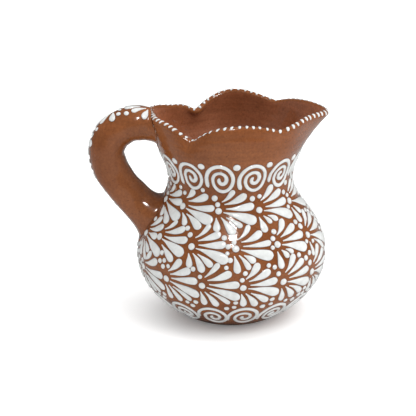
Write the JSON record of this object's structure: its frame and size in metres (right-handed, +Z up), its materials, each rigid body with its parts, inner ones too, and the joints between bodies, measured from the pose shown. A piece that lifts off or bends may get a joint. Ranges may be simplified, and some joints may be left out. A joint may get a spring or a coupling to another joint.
{
  "type": "ceramic pitcher",
  "caption": "Round-bellied terracotta pitcher with a wavy lobed rim, pinched spout, thick coil handle and raised white slip marks.",
  "frame": {"origin": "centre of the foot, on the plane the pitcher stands on", "axes": "+Z up through the mouth, +X from the handle towards the spout, +Y to the pitcher's left seen from behind the handle"},
  "size_m": [0.1658, 0.1322, 0.1497],
  "materials": {
    "terracotta": "fired red-brown clay under a glossy clear glaze, faint throwing rings and specks",
    "joining_slip": "fired clay slip, a shade darker than the body",
    "white_slip": "raised off-white slip under clear glaze, thinner and greyer at its edges"
  },
  "bodies": {
    "root": {"body": "terracotta", "handle": "terracotta", "upper_joint_slip": "joining_slip", "lower_joint_slip": "joining_slip", "rim_dashes": "white_slip", "neck_dots": "white_slip", "neck_scrolls": "white_slip", "belly_hearts": "white_slip", "belly_petals": "white_slip", "belly_dots": "white_slip", "base_dots": "white_slip", "base_scrolls": "white_slip", "handle_petals": "white_slip", "handle_dots": "white_slip"}
  },
  "joints": []
}
